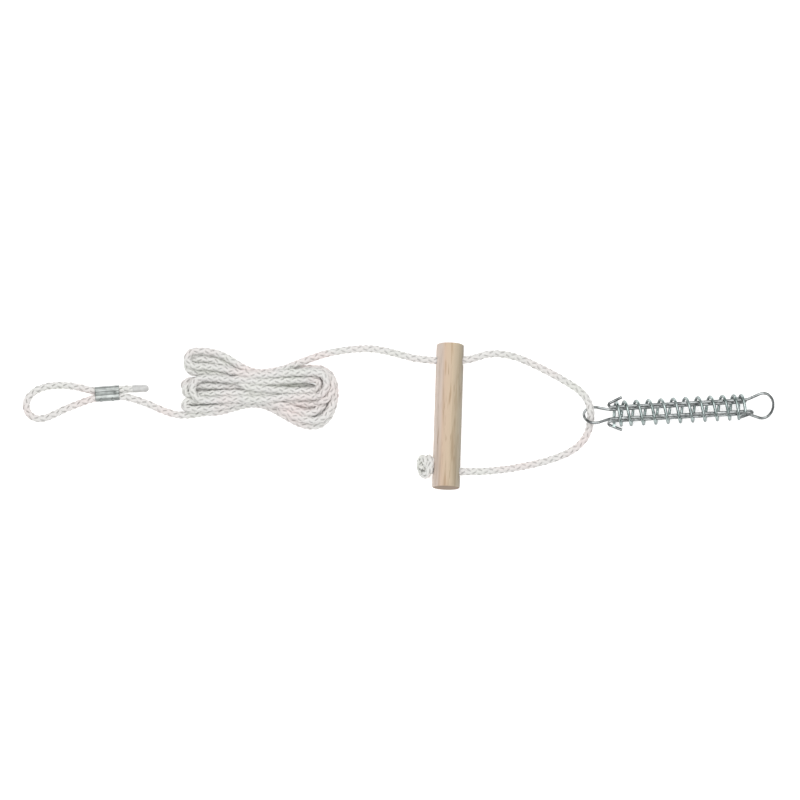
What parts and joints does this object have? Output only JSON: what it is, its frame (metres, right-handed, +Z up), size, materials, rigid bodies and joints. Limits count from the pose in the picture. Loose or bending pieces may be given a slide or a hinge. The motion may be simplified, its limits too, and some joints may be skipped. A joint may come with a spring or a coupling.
{
  "type": "tent guy line",
  "caption": "Guy rope laid out flat: crimped eye, hank of spare rope, drilled wooden runner on a bridle, and a compression spring with two wire draw loops.",
  "frame": {"origin": "centre of the base of the rigid pieces' box: on the surface that the line lies on, midway between the ferrule's and the peg loop's outer ends", "axes": "+X along the line from the rope eye towards the peg loop, +Z up from the surface it lies on, +Y across, along the wooden runner"},
  "size_m": [0.6026, 0.1176, 0.029],
  "materials": {
    "white_rope": "white braided polypropylene, glossy filaments",
    "beech": "turned beech, waxed, fine grain",
    "zinc_wire": "zinc-plated spring wire",
    "bright_wire": "bright drawn wire, zinc plated",
    "zinc_sheet": "zinc-plated sheet steel, pressed"
  },
  "bodies": {
    "line": {"eye_rope": "white_rope", "rope_tail": "white_rope", "standing_rope": "white_rope", "rope_hank": "white_rope", "running_rope": "white_rope", "bridle_rope": "white_rope", "crimp_ferrule": "zinc_sheet"},
    "runner": {"wooden_runner": "beech", "stopper_knot": "white_rope"},
    "rope_bar": {"rope_drawbar": "bright_wire"},
    "coil": {"compression_spring": "zinc_wire"},
    "peg_bar": {"peg_drawbar": "bright_wire"}
  },
  "joints": [
    {"name": "runner_slide", "type": "slide", "parent": "line", "child": "runner", "axis": [-0.9995, 0.0332, 0], "range_m": [-0.01, 0.03], "deforming": ["running_rope", "bridle_rope"]},
    {"name": "spring_swing", "type": "hinge", "parent": "line", "child": "rope_bar", "pos_m": [0.1256, 0.0004, 0.0126], "axis": [0, 0, 1], "range_deg": [-30, 30]},
    {"name": "peg_bar_turn", "type": "hinge", "parent": "rope_bar", "child": "coil", "pos_m": [0.1422, 0.0013, 0.0129], "axis": [0.9984, 0.0558, 0], "range_deg": [-65, 0]},
    {"name": "spring_pull", "type": "slide", "parent": "coil", "child": "peg_bar", "axis": [0.9984, 0.0558, 0], "range_m": [0, 0.06], "stiffness_N_per_m": 4700, "deforming": ["compression_spring"]}
  ]
}
